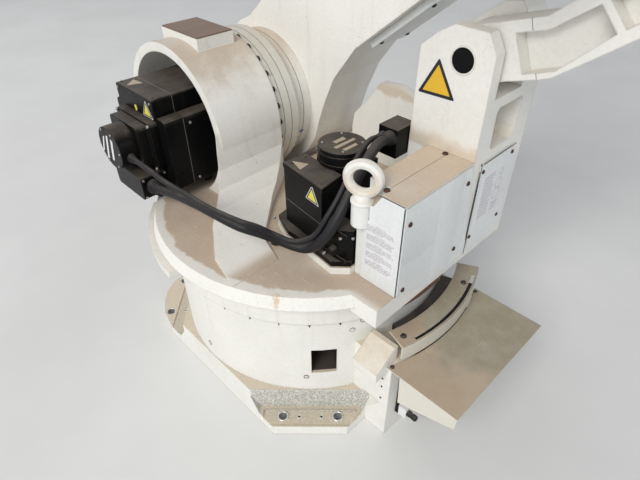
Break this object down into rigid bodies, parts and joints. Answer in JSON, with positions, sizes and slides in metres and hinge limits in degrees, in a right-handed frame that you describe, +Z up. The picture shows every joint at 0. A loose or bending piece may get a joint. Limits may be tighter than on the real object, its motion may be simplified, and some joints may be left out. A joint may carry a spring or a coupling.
{
  "type": "industrial robot arm",
  "caption": "Floor-mounted jointed robot arm: slewing column with a hooped motor housing, pinned rear beam, link arm and forearm.",
  "frame": {"origin": "centre of axis 1 on the underside of the base casting, where it stands on the floor", "axes": "+Z up along axis 1, +X forward over axis 2, +Y to the robot's left, the side of the axis 2 motor"},
  "size_m": [2.0416, 0.9314, 2.5647],
  "materials": {
    "white_casting": "warm white paint, dusty on top",
    "white_sheet": "warm white paint",
    "white_alloy": "warm white paint",
    "greige_sheet": "satin, dusty",
    "black_motor": "satin black, brown dust on top",
    "black_rubber": "matt",
    "rusty_steel": "rusted machined pad",
    "brown_band": "grimy",
    "bare_steel": "satin"
  },
  "bodies": {
    "base": {"base_frame": "white_casting", "slew_bearing": "bare_steel", "cable_guard": "greige_sheet", "guard_seal": "black_rubber", "base_lid": "greige_sheet", "connector_panel": "black_motor", "power_connector": "bare_steel", "signal_connector": "bare_steel"},
    "column": {"column_casting": "white_casting", "arch_pad": "rusty_steel", "axis_2_gear": "white_casting", "axis_2_motor_body": "black_motor", "axis_2_motor_shell": "black_motor", "axis_2_terminal_box": "black_motor", "axis_2_encoder_housing": "black_motor", "axis_2_motor_cap": "black_motor", "axis_2_connector": "black_motor", "motor_lift_ring": "black_motor", "axis_1_motor_flange": "black_motor", "axis_1_motor_body": "black_motor", "axis_1_motor_cap": "black_motor", "axis_1_terminal_box": "black_motor", "junction_box": "black_motor", "grommet": "black_rubber", "column_box": "white_casting", "side_cover": "white_sheet", "rear_cover": "white_sheet", "eye_bolt": "white_casting", "tower": "white_casting", "tower_cover": "white_sheet", "tower_pin": "black_motor", "rear_beam": "white_casting", "side_wall": "white_casting", "cable_clamp": "black_motor", "cable_band": "brown_band", "power_cable": "black_rubber", "signal_cable": "black_rubber"},
    "link_arm": {"link_arm": "white_casting", "axis_2_hub": "white_casting", "link_cover": "white_alloy", "elbow_housing": "white_alloy", "axis_3_motor": "black_motor", "wrist_motor_1": "black_motor", "wrist_motor_2": "black_motor", "wrist_motor_3": "black_motor", "forearm": "white_alloy", "wrist_housing": "white_alloy", "wrist_bend": "white_alloy", "tool_flange": "bare_steel"}
  },
  "joints": [
    {"name": "axis_1", "type": "hinge", "parent": "base", "child": "column", "pos_m": [0, 0, 0], "axis": [0, 0, 1], "range_deg": [-185, 185]},
    {"name": "axis_2", "type": "hinge", "parent": "column", "child": "link_arm", "pos_m": [0.35, -0.25, 0.675], "axis": [0, 1, 0], "range_deg": [0, 135]}
  ]
}
